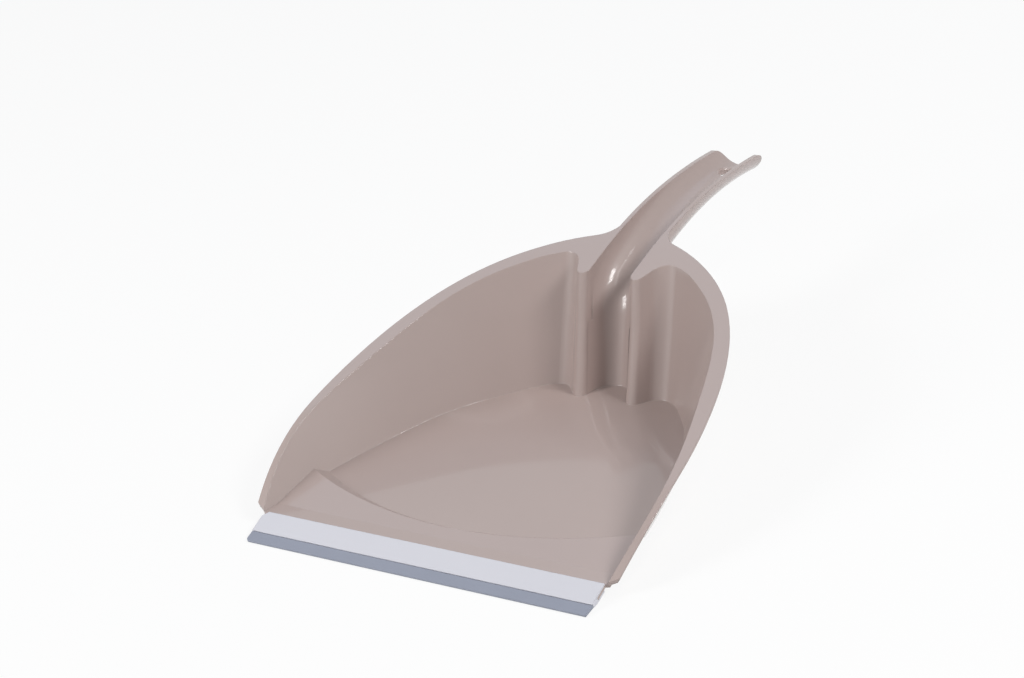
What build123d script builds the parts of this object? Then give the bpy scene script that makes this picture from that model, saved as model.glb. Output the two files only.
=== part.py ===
"""Dustpan: one moulded pan with a gutter handle, and a push-on lip strip of two materials.

Millimetres. X runs along the lip, Y from the lip towards the handle, Z up, and the pan lies
on Z = 0. Lengths along Y are measured from the lip line, where the white clip meets the grey
blade; lip_y places that line so that the origin is on the ground under the middle of the whole.
"""
import os
from math import asin, cos, degrees, radians, sin, tan

from build123d import *

# Overall
strip_length = 204.0
handle_end = 327.0
wall = 2.1
floor_thickness = 1.6

# Lip strip: the clip pushed on the pan's front edge, and its blade
strip_slope = 20.0
strip_lift = 0.8
clip_width = 12.5
clip_under_width = 10.5
clip_top = 1.0
clip_under = 0.9
clip_front = 2.4
clip_nose = 3.5
slot_front = 4.5
front_edge = 1.5
clip_corner = 3.0
bead_radius = 0.9
bead_clearance = 0.05
bead_offset = 0.55
blade_reach = 6.1
blade_root = 1.7
blade_tip = 0.8
blade_ground_gap = 0.1
blade_corner = 2.0

# Places along the strip's slope; the clip's lower front edge is held just above the ground
lip_y = (blade_reach - handle_end) / 2
lip_height = strip_lift + clip_front * cos(radians(strip_slope))
half_strip = strip_length / 2


def strip_point(along, above):
    """Point of the strip's plane as (y from the lip line, z)."""
    slope = radians(strip_slope)
    y = along * cos(slope) - above * sin(slope)
    z = lip_height + along * sin(slope) + above * cos(slope)
    return (y, z)


ramp_front, ramp_front_height = strip_point(clip_width, -clip_top)
wall_front = ramp_front

# Gutter: up the back wall, round a bend and along the handle
gutter_radius = 12.8
channel_foot_radius = 12.2
gutter_lean = 20.5
bend_drop = 28.8
bend_radius = 27.0
handle_rise = 19.0
handle_arch_radius = 227.0
handle_end_round = 6.5
handle_wall = 2.45
handle_sink = 1.0
hole_radius = 5.2
hole_edge = 0.8
hole_from_end = 13.9

# Floor: it falls gently from the ridge, then dips to a level strip at the back
floor_height = floor_thickness
crown_station = 115.0
crown_height = 5.05
dip_station = 170.0
level_station = 165.0
floor_back = 176.6
gutter_setback = 6.8

# Walls in plan, on the inside, at the floor and above the rim
wall_lean = 22.6
back_height = 66.3
wall_over_rim = 2.5
top_height = back_height + wall_over_rim
lobe_station = gutter_radius + 21.4
lobe_lead = 18.0
lobe_inset = 0.5
top_back = floor_back + (top_height - floor_height) * tan(radians(wall_lean))
floor_points = [
    (half_strip - 1.8, wall_front),
    (half_strip - 9.0, 52.1),
    (half_strip - 25.0, 111.6),
    (half_strip - 33.6, floor_back - 42.8),
    (half_strip - 44.6, floor_back - 23.0),
    (half_strip - 55.4, floor_back - 9.5),
    (lobe_station, floor_back - lobe_inset),
]
top_points = [
    (half_strip + 38.2, wall_front),
    (half_strip + 30.8, 50.5),
    (half_strip + 3.3, 123.4),
    (half_strip - 13.0, top_back - 47.2),
    (half_strip - 32.6, top_back - 22.7),
    (half_strip - 50.3, top_back - 9.1),
    (lobe_station, top_back - lobe_inset),
]

# Folds of the back wall beside the gutter
lobe_radius = 9.5
floor_flank_angle = 48.0
top_flank_angle = 62.0
floor_nose_radius = 4.4
top_nose_radius = 3.6
nose_overlap = 2.0

# Rim: a flange that follows one side curve from the lip to the handle's end
rim_thickness = 1.8
rim_edge_cut = 1.0
rim_slope = 13.3
rim_line_start = 72.5
rim_line_over = 3.5
crown_from_end = 44.0
crown_rise = 8.8
handle_end_rise = 5.0
rim_front_rise = 0.6
rim_front_cut = 3.0
rim_points = [
    (half_strip + 6.7, wall_front + rim_front_cut),
    (half_strip + 10.8, 54.8),
    (half_strip + 6.1, 104.4),
    (half_strip - 5.9, top_back - 58.3),
    (half_strip - 28.2, top_back - 20.7),
    (half_strip - 58.8, top_back + 4.7),
    (0.0, top_back + 20.8),
]
web_fillet = 15.0
web_sink = 0.7

# Ramp behind the lip: level, then rising to a ridge that is an arc in plan
ramp_crease = 21.0
ramp_slope = 8.8
ridge_radius = 196.0
ridge_station = 28.5
ridge_step = 0.8
riser_slope = 32.0

# Places worked out from the sizes above
side_plane = Plane((0, lip_y, 0), x_dir=(0, 1, 0), z_dir=(1, 0, 0))
strip_dir = (0, cos(radians(strip_slope)), sin(radians(strip_slope)))
strip_plane = Plane((0, lip_y, lip_height), x_dir=strip_dir, z_dir=(1, 0, 0))
back_station = floor_back + (back_height - floor_height) * tan(radians(wall_lean))
bend_height = back_height - bend_drop
handle_end_height = back_height + handle_end_rise
reach = 2 * top_points[0][0]
tall = 2 * top_height


def rim_line(y):
    """Height of the straight middle part of the rim's side curve."""
    return back_height + (y - back_station) * tan(radians(rim_slope))


def level(z):
    """Plan at height z, with y measured from the lip line."""
    return Plane((0, lip_y, z))


lobe_dir = (-cos(radians(lobe_lead)), sin(radians(lobe_lead)))


def grown(points, amount):
    """Outline points moved outward along the outline's normal."""
    moved = []
    for i, (x, y) in enumerate(points):
        before = points[max(i - 1, 0)]
        after = points[min(i + 1, len(points) - 1)]
        along = Vector(after[0] - before[0], after[1] - before[1]).normalized()
        if i == len(points) - 1:
            along = Vector(*lobe_dir)
        moved.append((x + amount * along.Y, y - amount * along.X))
    moved[0] = (moved[0][0], wall_front)
    return moved


def share(z):
    """How far up the wall a height lies: 0 at the floor, 1 at the top."""
    return (z - floor_height) / (top_height - floor_height)


def wall_points(z):
    """Inside plan of the walls at height z, on straight lines from floor to top."""
    points = []
    for low, high in zip(floor_points, top_points):
        x = low[0] + (high[0] - low[0]) * share(z)
        y = low[1] + (high[1] - low[1]) * share(z)
        points.append((x, y))
    return points


def flank_angle(z):
    """Turn of the lobe into the flank of the fold, at height z."""
    return floor_flank_angle + (top_flank_angle - floor_flank_angle) * share(z)


def nose_radius(z):
    """Radius of the fold's rounded nose, at height z."""
    return floor_nose_radius + (top_nose_radius - floor_nose_radius) * share(z)


def channel_radius(z):
    """Half width of the channel between the folds: it widens up to the bend."""
    widened = min((z - floor_height) / (bend_height - floor_height), 1)
    return channel_foot_radius + (gutter_radius - channel_foot_radius) * widened


def wall_to_nose(z, grow):
    """Wall from its front end round the lobe, along the flank and round the nose; returns the nose."""
    points = grown(wall_points(z), grow)
    start = (points[1][0] - points[0][0], points[1][1] - points[0][1])
    side = Spline(*points, tangents=[start, lobe_dir])
    lobe = JernArc(side @ 1, lobe_dir, lobe_radius + grow, lobe_lead + flank_angle(z))
    angle = radians(flank_angle(z))
    round_off = nose_radius(z) - grow
    flank_end = channel_radius(z) + nose_radius(z) + round_off * sin(angle)
    run = ((lobe @ 1).X - flank_end) / cos(angle)
    flank = Line(lobe @ 1, (flank_end, (lobe @ 1).Y - run * sin(angle)))
    Line((0, wall_front), side @ 0)
    return JernArc(flank @ 1, flank % 1, round_off, -90 - flank_angle(z))


def lower_outline(z, grow):
    """Right half of the pan in plan, below the bend, with the channel between the folds."""
    nose = wall_to_nose(z, grow)
    half = channel_radius(z)
    stretch = 1 / cos(radians(gutter_lean))
    centre = floor_back + gutter_setback + (z - floor_height) * tan(radians(gutter_lean)) - half * stretch
    half += grow
    back = EllipticalCenterArc((0, centre), half, half * stretch, start_angle=0, arc_size=90)
    Line(nose @ 1, back @ 0)
    Line(back @ 1, (0, wall_front))


def upper_outline(z, grow):
    """Right half of the pan in plan, above the bend, closed just inside the mouth of the gutter."""
    nose = wall_to_nose(z, grow)
    corner = ((nose @ 1).X, (nose @ 1).Y + nose_overlap)
    Line(nose @ 1, corner)
    Line(corner, (0, corner[1]))
    Line((0, corner[1]), (0, wall_front))


def gutter_profile(radius, depth):
    """U of the gutter: a half round below two straight sides."""
    with Locations((0, -gutter_radius)):
        Circle(radius)
    with Locations((0, -gutter_radius - depth / 2)):
        Rectangle(2 * radius, depth)


# Region below the rim's side curve
with BuildSketch(side_plane) as below_rim:
    with BuildLine():
        slope_dir = (cos(radians(rim_slope)), sin(radians(rim_slope)))
        rim_line_end = back_station + rim_line_over
        line_start = (rim_line_start, rim_line(rim_line_start))
        line_end = (rim_line_end, rim_line(rim_line_end))
        front_foot = (wall_front, ramp_front_height + rim_front_rise)
        crown = (handle_end - crown_from_end, back_height + crown_rise)
        TangentArc(line_start, front_foot, tangent=(-slope_dir[0], -slope_dir[1]))
        Line(line_start, line_end)
        climb = TangentArc(line_end, crown, tangent=slope_dir)
        TangentArc(crown, (handle_end, handle_end_height), tangent=climb % 1)
        Polyline(
            (handle_end, handle_end_height),
            (handle_end, -floor_thickness),
            (wall_front, -floor_thickness),
            front_foot,
        )
    make_face()
    end_corner = vertices().sort_by(Axis.X)[-2:].sort_by(Axis.Y)[-1]
    fillet(end_corner, handle_end_round)

# Path of the gutter's lowest line, up the wall and along the handle
with BuildLine(side_plane) as gutter_path:
    lean = tan(radians(gutter_lean))
    below = -2 * gutter_radius
    gutter_foot = floor_back + gutter_setback
    foot = (gutter_foot + (below - floor_height) * lean, below)
    bend_start = (gutter_foot + (bend_height - floor_height) * lean, bend_height)
    rise = Line(foot, bend_start)
    bend = JernArc(rise @ 1, rise % 1, bend_radius, handle_rise - (90 - gutter_lean))
    run_out = handle_end + gutter_radius - bend.position_at(1).Y + lip_y
    arch = degrees(asin(run_out / handle_arch_radius - sin(radians(handle_rise))))
    JernArc(bend @ 1, bend % 1, handle_arch_radius, -handle_rise - arch)

# Outline of the pan from above, with its front corners cut and its web run into the handle
with BuildSketch(level(0)) as plan:
    with BuildLine():
        edge = Spline(*rim_points)
        Polyline(edge @ 1, (0, wall_front), (half_strip, wall_front), edge @ 0)
    make_face()
    mirror(about=Plane.YZ)
    neck = 2 * (gutter_radius + handle_wall - web_sink)
    neck_end = rim_points[-1][1] + web_fillet
    with Locations((0, neck_end / 2 + wall_front / 2)):
        Rectangle(neck, neck_end - wall_front)
    corners = vertices().filter_by(lambda v: abs(abs(v.X) - neck / 2) < 0.001)
    fillet(corners.sort_by(Axis.Y)[:2], web_fillet)


def walled(outline, low, high, grow):
    """Solid between the wall outlines at two heights, both halves."""
    with BuildPart() as block:
        for z in (low, high):
            with BuildSketch(level(z)):
                with BuildLine():
                    outline(z, grow)
                make_face()
        loft(ruled=True)
        mirror(about=Plane.YZ)
    return block.part


def swept_gutter(radius, depth):
    """Gutter swept round the bend and along the handle, from the height of the bend up."""
    with BuildPart() as block:
        with BuildSketch(Plane(gutter_path.line @ 0, x_dir=(1, 0, 0), z_dir=gutter_path.line % 0)):
            gutter_profile(radius, depth)
        sweep(path=gutter_path.line)
        split(bisect_by=Plane.XY.offset(bend_height), keep=Keep.TOP)
    return block.part


# Outside and inside of the walls, and of the gutter
with BuildPart() as shell:
    add(walled(lower_outline, 0, bend_height, wall))
    add(walled(upper_outline, bend_height, top_height, wall))
    extrude(to_extrude=plan.sketch, amount=tall, mode=Mode.INTERSECT)

with BuildPart() as hollow:
    add(walled(lower_outline, floor_height, bend_height, 0))
    add(walled(upper_outline, bend_height, top_height, 0))

gutter = Pos(0, 0, -handle_sink) * swept_gutter(gutter_radius + handle_wall, 2 * gutter_radius)
trough = swept_gutter(gutter_radius, 3 * gutter_radius)

# Rim flange: the plan cut to a band under the side curve
with BuildPart() as rim:
    extrude(to_extrude=plan.sketch, amount=tall)
    band = below_rim.sketch - Pos(0, 0, -rim_thickness) * below_rim.sketch
    extrude(to_extrude=band, amount=reach, both=True, mode=Mode.INTERSECT)
    outer_faces = faces().filter_by(lambda f: abs(f.normal_at().Z) < 0.001).sort_by(SortBy.AREA)
    side_faces = outer_faces.filter_by(lambda f: abs(f.center().X) > half_strip / 2)[-2:]
    lower_edges = [face.edges().sort_by(Edge.length)[-2:].sort_by(Axis.Z)[0] for face in side_faces]
    chamfer(lower_edges, rim_edge_cut)

# Heights of the ramp and of the floor behind it
ramp_tilt = tan(radians(ramp_slope))
ridge_height = ramp_front_height + (ridge_station - ramp_crease) * ramp_tilt
ridge_centre = ridge_station + ridge_radius
floor_front_height = ridge_height - ridge_step


def ramp_block(lowered):
    """Everything below the ramp, up to its riser; lowered by the floor for the underside."""
    ramp_level = ramp_front_height - lowered
    spread = top_height / 2 / tan(radians(riser_slope))
    thicker = lowered * tan(radians(riser_slope) / 2)
    low = ridge_radius + thicker - (ridge_height - lowered) / tan(radians(riser_slope)) - spread
    with BuildPart() as block:
        with BuildSketch(side_plane):
            with BuildLine():
                Polyline(
                    (0, ramp_level),
                    (ramp_crease, ramp_level),
                    (level_station, ramp_level + (level_station - ramp_crease) * ramp_tilt),
                    (level_station, -tall),
                    (0, -tall),
                    close=True,
                )
            make_face()
        extrude(amount=reach, both=True)
        with Locations((0, lip_y + ridge_centre, 0)):
            Cone(low, low + 2 * spread, top_height, mode=Mode.SUBTRACT)
    return block.part


# Ground inside the pan: the ramp, the gently falling floor and its dip
with BuildPart() as ground:
    add(ramp_block(0))
    with BuildSketch(side_plane):
        with BuildLine():
            floor_end = (floor_back + gutter_setback, floor_height)
            fall = Line((ridge_station, floor_front_height), (crown_station, crown_height))
            dip = Spline(fall @ 1, (dip_station, floor_height), tangents=[fall % 1, (1, 0)])
            Polyline(dip @ 1, floor_end, (floor_end[0], -tall), (ridge_station, -tall), fall @ 0)
        make_face()
    extrude(amount=reach, both=True)

# Ground under the pan: it meets the level underside at the level station
with BuildPart() as under_ground:
    add(ramp_block(floor_thickness))
    with BuildSketch(side_plane):
        with BuildLine():
            Polyline(
                (ridge_station, floor_front_height - floor_thickness),
                (level_station, 0),
                (level_station, -tall),
                (ridge_station, -tall),
                close=True,
            )
        make_face()
    extrude(amount=reach, both=True)

# Pan with its handle
with BuildPart() as pan:
    add(shell.part)
    add(gutter)
    extrude(to_extrude=below_rim.sketch, amount=reach, both=True, mode=Mode.INTERSECT)
    add(rim.part)
    add(hollow.part - ground.part, mode=Mode.SUBTRACT)
    add(trough, mode=Mode.SUBTRACT)
    add(under_ground.part, mode=Mode.SUBTRACT)
    with BuildSketch(side_plane):
        with BuildLine():
            Polyline(
                strip_point(slot_front, -clip_top),
                (ramp_front, ramp_front_height),
                (ramp_front, ramp_front_height - front_edge / cos(radians(strip_slope))),
                strip_point(slot_front, -clip_top - front_edge),
                close=True,
            )
        make_face()
    extrude(amount=half_strip, both=True)
    with Locations((0, lip_y + handle_end - hole_from_end, handle_end_height)):
        Cylinder(hole_radius, tall, mode=Mode.SUBTRACT)
    hole_edges = edges(Select.LAST).filter_by(GeomType.LINE, reverse=True)
    chamfer(hole_edges.group_by(Axis.Z)[-1], hole_edge)
pan.part.label = "pan"

# Clip: a flat channel pushed on the front edge, with a groove for the blade's bead
with BuildPart() as clip:
    with BuildSketch(strip_plane):
        with BuildLine():
            under_top = -clip_top - front_edge
            bottom = under_top - clip_under
            Polyline(
                (0, 0),
                (clip_width, 0),
                (clip_width, -clip_top),
                (slot_front, -clip_top),
                (slot_front, under_top),
                (clip_under_width, under_top),
                (clip_under_width, bottom),
                (clip_nose, bottom),
                (0, -clip_front),
                close=True,
            )
        make_face()
        with Locations((-bead_offset, -clip_front / 2)):
            Circle(bead_radius + bead_clearance, mode=Mode.SUBTRACT)
    extrude(amount=half_strip, both=True)
    back_corners = faces().sort_by(Axis.Y)[-1].edges().filter_by(Axis.X, reverse=True)
    chamfer(back_corners.sort_by(Axis.X)[0], clip_corner)
clip.part.label = "lip_clip"

# Blade: a tapering soft edge on a round bead
bead = Vector(*strip_point(-bead_offset, -clip_front / 2))
tip = Vector(-blade_reach, blade_ground_gap)
with BuildPart() as blade:
    with BuildSketch(side_plane):
        with BuildLine():
            root = (tip + Vector(0, blade_tip / 2) - bead).normalized()
            across = Vector(-root.Y, root.X) * (blade_root / 2)
            Polyline(
                bead - across,
                tip + Vector(0, blade_tip),
                tip,
                bead + across,
                close=True,
            )
        make_face()
        with Locations(bead):
            Circle(bead_radius)
    extrude(amount=half_strip, both=True)
    tip_corners = faces().sort_by(Axis.Y)[0].edges().filter_by(Axis.X, reverse=True)
    fillet(tip_corners.sort_by(Axis.X)[0], blade_corner)
blade.part.label = "lip_blade"

os.makedirs("parts", exist_ok=True)
export_step(pan.part, "parts/pan.step")
export_step(clip.part, "parts/lip_clip.step")
export_step(blade.part, "parts/lip_blade.step")
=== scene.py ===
"""Studio scene of a glossy taupe dustpan with a white clip and a soft grey blade along its lip.

Metres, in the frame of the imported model: X along the lip, Y from the lip to the handle, Z up.
The three CAD nodes get procedural finishes. The scene adds only the floor, the lamps and the camera.
"""
import math

import bpy
import numpy as np
from mathutils import Matrix

# Rounding that the shaded edges get
pan_edge_radius = 0.0008
clip_edge_radius = 0.0005
blade_edge_radius = 0.0004
edge_samples = 8

# Floor sheet, just under the pan
floor_size = 8.0
floor_level = -0.0003
card_colour = (0.9, 0.9, 0.9, 1)

# Share of the floor that is plain white to the camera, which leaves the rest to the shadow
floor_white_share = 0.88
floor_gloss_share = 1.0

# Surroundings: their light on the object, and what reflections show of them
fill_strength = 0.18
world_gloss_share = 0.9
white = (1, 1, 1, 1)

# Lamps stand on a sphere round a point just above the floor
lamp_distance = 1.8
aim_height = 0.03

# Camera of the photograph
image_width = 1024
sensor_width = 36.0
focal_pixels = 2800.465
camera_turn, camera_rise, camera_roll = 39.606, 26.5085, -11.3055
camera_place = (0.784459, -1.004029, 0.684827)
camera_reach = 50.0

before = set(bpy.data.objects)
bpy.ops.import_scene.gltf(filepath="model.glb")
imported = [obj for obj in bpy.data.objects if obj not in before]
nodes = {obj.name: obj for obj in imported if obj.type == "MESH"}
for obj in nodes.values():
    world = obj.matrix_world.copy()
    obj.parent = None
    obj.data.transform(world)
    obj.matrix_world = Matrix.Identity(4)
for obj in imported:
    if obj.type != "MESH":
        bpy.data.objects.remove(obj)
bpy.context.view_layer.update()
scene = bpy.context.scene
scene.view_settings.view_transform = "Standard"


def srgb(red, green, blue):
    """Linear colour of an 8-bit display colour."""
    share = np.array([red, green, blue]) / 255
    linear = np.where(share <= 0.04045, share / 12.92, ((share + 0.055) / 1.055) ** 2.4)
    return (*linear.tolist(), 1.0)


class Wire:
    """A socket's value in a shader expression; each operator adds one Math node."""

    def __init__(self, finish, socket):
        self.finish = finish
        self.socket = socket

    def math(self, operation, *others):
        """Math node with this value first."""
        return self.finish.node("Math", {"operation": operation}, **{
            str(i): value for i, value in enumerate((self, *others))})

    def __add__(self, other):
        return self.math("ADD", other)

    __radd__ = __add__

    def __mul__(self, other):
        return self.math("MULTIPLY", other)

    __rmul__ = __mul__


class Finish:
    """One node tree, of a material or the world, built from expressions."""

    def __init__(self, tree):
        self.tree = tree
        tree.nodes.clear()

    def node(self, kind, settings=None, out=0, **inputs):
        """Adds a shader node: its settings first, then the values or links of its sockets."""
        made = self.tree.nodes.new("ShaderNode" + kind)
        for name, value in (settings or {}).items():
            setattr(made, name, value)
        for name, value in inputs.items():
            key = int(name) if name.isdigit() else name.replace("_", " ")
            if isinstance(value, Wire):
                self.tree.links.new(value.socket, made.inputs[key])
            else:
                made.inputs[key].default_value = value
        return Wire(self, made.outputs[out]) if made.outputs else None

    def mix(self, share, first, second):
        """Colour between two colours; sockets 6 and 7 and result 2 are the Mix node's colours."""
        return self.node("Mix", {"data_type": "RGBA"}, 2, **{"0": share, "6": first, "7": second})

    def place(self):
        """Object coordinates, in metres."""
        return self.node("TexCoord", out="Object")

    def noise(self, spot, scale, detail, roughness=0.5):
        """Noise between 0 and 1."""
        return self.node("TexNoise", None, "Fac", Vector=spot, Scale=scale, Detail=detail,
                         Roughness=roughness)

    def draw_lines(self, spot, along, across, detail):
        """Fine lines along X, from a noise that is stretched along the strip."""
        stretched = self.node("Mapping", None, Vector=spot, Scale=(along, across, across))
        return self.noise(stretched, 1.0, detail)

    def relief(self, edge_radius, height, strength, depth):
        """Normal with rounded edges and a fine relief."""
        edge = self.node("Bevel", {"samples": edge_samples}, Radius=edge_radius)
        return self.node("Bump", None, Strength=strength, Distance=depth, Height=height,
                         Normal=edge)


def finish_of(name):
    """New material and its tree."""
    material = bpy.data.materials.new(name)
    material.use_nodes = True
    return material, Finish(material.node_tree)


def moulded_taupe():
    """Glossy injection-moulded plastic: sharp gloss under a broad sheen, with faint flow
    mottling, orange peel and rounded edges."""
    material, make = finish_of("moulded_taupe")
    spot = make.place()
    flow = make.noise(spot, 14.0, 3.0, 0.55)
    peel = make.noise(spot, 160.0, 1.0)
    grain = make.noise(spot, 420.0, 2.0)
    colour = make.mix(flow, srgb(173, 156, 151), srgb(177, 160, 155))
    bump = make.relief(pan_edge_radius, peel + 0.3 * grain, strength=0.012, depth=0.0002)
    shader = make.node("BsdfPrincipled", None, Base_Color=colour, Roughness=0.06 + 0.03 * flow,
                       Normal=bump, IOR=1.36, Coat_Weight=0.8, Coat_Roughness=0.4)
    make.node("OutputMaterial", None, Surface=shader)
    return material


def extruded_white():
    """Satin white extrusion with faint draw lines along its length."""
    material, make = finish_of("extruded_white")
    spot = make.place()
    lines = make.draw_lines(spot, 6.0, 900.0, 2.0)
    cloud = make.noise(spot, 30.0, 2.0)
    colour = make.mix(cloud, srgb(211, 211, 219), srgb(216, 216, 223))
    bump = make.relief(clip_edge_radius, lines, strength=0.05, depth=0.0001)
    shader = make.node("BsdfPrincipled", None, Base_Color=colour, Roughness=0.52 + 0.1 * lines,
                       Normal=bump, IOR=1.42)
    make.node("OutputMaterial", None, Surface=shader)
    return material


def soft_grey():
    """Soft satin grey, a little cloudy, with draw lines along the blade."""
    material, make = finish_of("soft_grey")
    spot = make.place()
    lines = make.draw_lines(spot, 8.0, 1200.0, 3.0)
    cloud = make.noise(spot, 60.0, 3.0)
    colour = make.mix(cloud, srgb(142, 147, 162), srgb(150, 155, 170))
    bump = make.relief(blade_edge_radius, lines, strength=0.1, depth=0.0001)
    shader = make.node("BsdfPrincipled", None, Base_Color=colour, Roughness=0.42 + 0.12 * cloud,
                       Normal=bump, IOR=1.48)
    make.node("OutputMaterial", None, Surface=shader)
    return material


def backdrop_share(make, gloss_share):
    """1 for rays from the camera and through clear parts, and a share of 1 for reflections."""
    seen = make.node("LightPath", out="Is Camera Ray")
    gloss = make.node("LightPath", out="Is Glossy Ray")
    through = make.node("LightPath", out="Is Transmission Ray")
    return (seen + gloss_share * gloss + through).math("MINIMUM", 1.0)


def pale_floor():
    """White floor: white to the camera and to reflections, with part of the shadow kept."""
    material, make = finish_of("pale_floor")
    glow = make.node("Emission", None, Color=white, Strength=1.0)
    card = make.node("BsdfDiffuse", None, Color=card_colour)
    share = floor_white_share * backdrop_share(make, floor_gloss_share)
    surface = make.node("MixShader", None, **{"0": share, "1": card, "2": glow})
    make.node("OutputMaterial", None, Surface=surface)
    return material


def floor_sheet():
    """Flat square sheet: x and y run over a grid of two by two, z is constant."""
    ends = [-floor_size / 2, floor_size / 2]
    across, along = np.meshgrid(ends, ends)
    level = np.full_like(across, floor_level)
    points = np.stack([across, along, level], axis=-1).reshape(-1, 3)
    mesh = bpy.data.meshes.new("floor")
    mesh.from_pydata(points.tolist(), [], [(0, 1, 3, 2)])
    sheet = bpy.data.objects.new("floor", mesh)
    scene.collection.objects.link(sheet)
    sheet.data.materials.append(pale_floor())


def dress(node, material):
    """Puts one finish on a CAD node."""
    for slot in nodes[node].material_slots:
        slot.material = material


def studio_world():
    """Even surroundings: white to the camera and nearly so to reflections, dim as a light."""
    world = bpy.data.worlds.new("studio")
    world.use_nodes = True
    make = Finish(world.node_tree)
    backdrop = backdrop_share(make, world_gloss_share)
    strength = fill_strength + (1 - fill_strength) * backdrop
    shade = make.node("Background", None, Color=white, Strength=strength)
    make.node("OutputWorld", None, Surface=shade)
    scene.world = world


def stand(thing, right, up, back, place):
    """Sets an object's axes and place, and links it to the scene."""
    rows = [[right[i], up[i], back[i], place[i]] for i in range(3)]
    thing.matrix_world = Matrix(rows + [[0, 0, 0, 1]])
    scene.collection.objects.link(thing)


def soft_lamp(name, turn, rise, size, power, colour=(1, 1, 1)):
    """Area lamp that faces the pan, placed by its turn from the front to the right and its rise,
    both in degrees."""
    turn, rise = math.radians(turn), math.radians(rise)
    level = math.cos(rise)
    axis = np.array([math.sin(turn) * level, -math.cos(turn) * level, math.sin(rise)])
    side = np.array([math.cos(turn), math.sin(turn), 0])
    data = bpy.data.lights.new(name, "AREA")
    data.shape = "RECTANGLE"
    data.size, data.size_y = size
    data.energy = power
    data.color = colour
    place = lamp_distance * axis + np.array([0, 0, aim_height])
    stand(bpy.data.objects.new(name, data), side, np.cross(axis, side), axis, place)


def photo_camera():
    """Camera at the photograph's viewing angle, rolled as the photograph was."""
    turn, rise, roll = (math.radians(v) for v in (camera_turn, camera_rise, camera_roll))
    level = math.cos(rise)
    right = np.array([math.cos(turn), math.sin(turn), 0])
    ahead = np.array([-math.sin(turn) * level, math.cos(turn) * level, -math.sin(rise)])
    up = np.cross(right, ahead)
    across = math.cos(roll) * right + math.sin(roll) * up
    over = math.cos(roll) * up - math.sin(roll) * right
    data = bpy.data.cameras.new("camera")
    data.sensor_width = sensor_width
    data.lens = focal_pixels / image_width * sensor_width
    data.clip_end = camera_reach
    camera = bpy.data.objects.new("camera", data)
    stand(camera, across, over, -ahead, camera_place)
    scene.camera = camera


dress("pan", moulded_taupe())
dress("lip_clip", extruded_white())
dress("lip_blade", soft_grey())
floor_sheet()
studio_world()

# Two softboxes, a narrow strip overhead and a cool, weak box from behind
soft_lamp("right_box", 95, 41, size=(0.7, 0.42), power=17.5)
soft_lamp("right_core", 93, 64, size=(1.5, 0.08), power=3.2)
soft_lamp("left_box", -41, 30, size=(0.5, 0.8), power=17.4)
soft_lamp("back_box", -150, 48, size=(1.8, 0.9), power=1.9, colour=(0.7, 0.95, 1.3))
photo_camera()
